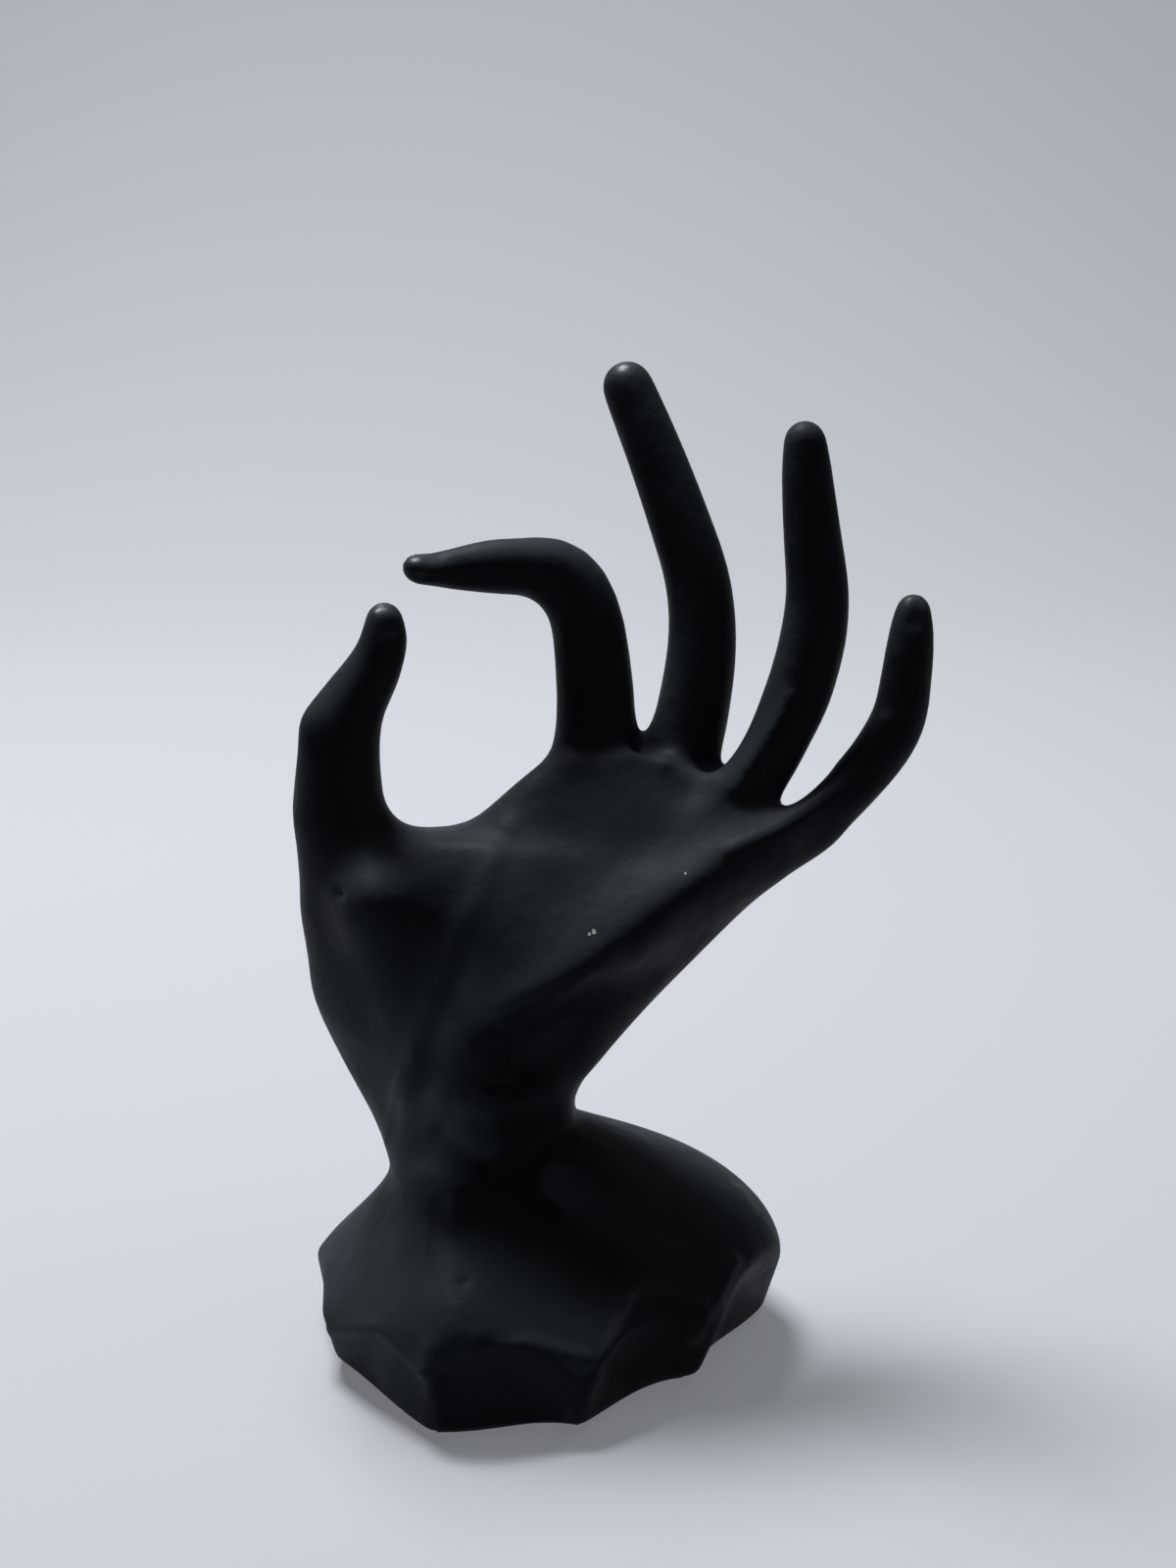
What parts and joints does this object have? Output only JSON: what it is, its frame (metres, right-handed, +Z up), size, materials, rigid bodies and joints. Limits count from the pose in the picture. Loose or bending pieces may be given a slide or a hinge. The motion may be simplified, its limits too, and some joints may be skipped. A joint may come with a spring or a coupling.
{
  "type": "hand ring display stand",
  "caption": "Slim black cast-resin hand making an OK sign on a draped, fluted base, with felt underneath; rings hang on its fingers.",
  "frame": {"origin": "middle of the felt pad's underside, where the stand meets the table", "axes": "+Z up along the hand, -Y the way the palm faces, +X to the viewer's right (the little finger's side)"},
  "size_m": [0.103, 0.0717, 0.1584],
  "materials": {
    "resin": "matte black paint on cast polyester resin",
    "wire": "drawn",
    "felt": "felted"
  },
  "bodies": {
    "root": {"hand_casting": "resin", "thumb_wire": "wire", "index_wire": "wire", "middle_wire": "wire", "ring_wire": "wire", "little_wire": "wire", "felt_pad": "felt"}
  },
  "joints": []
}
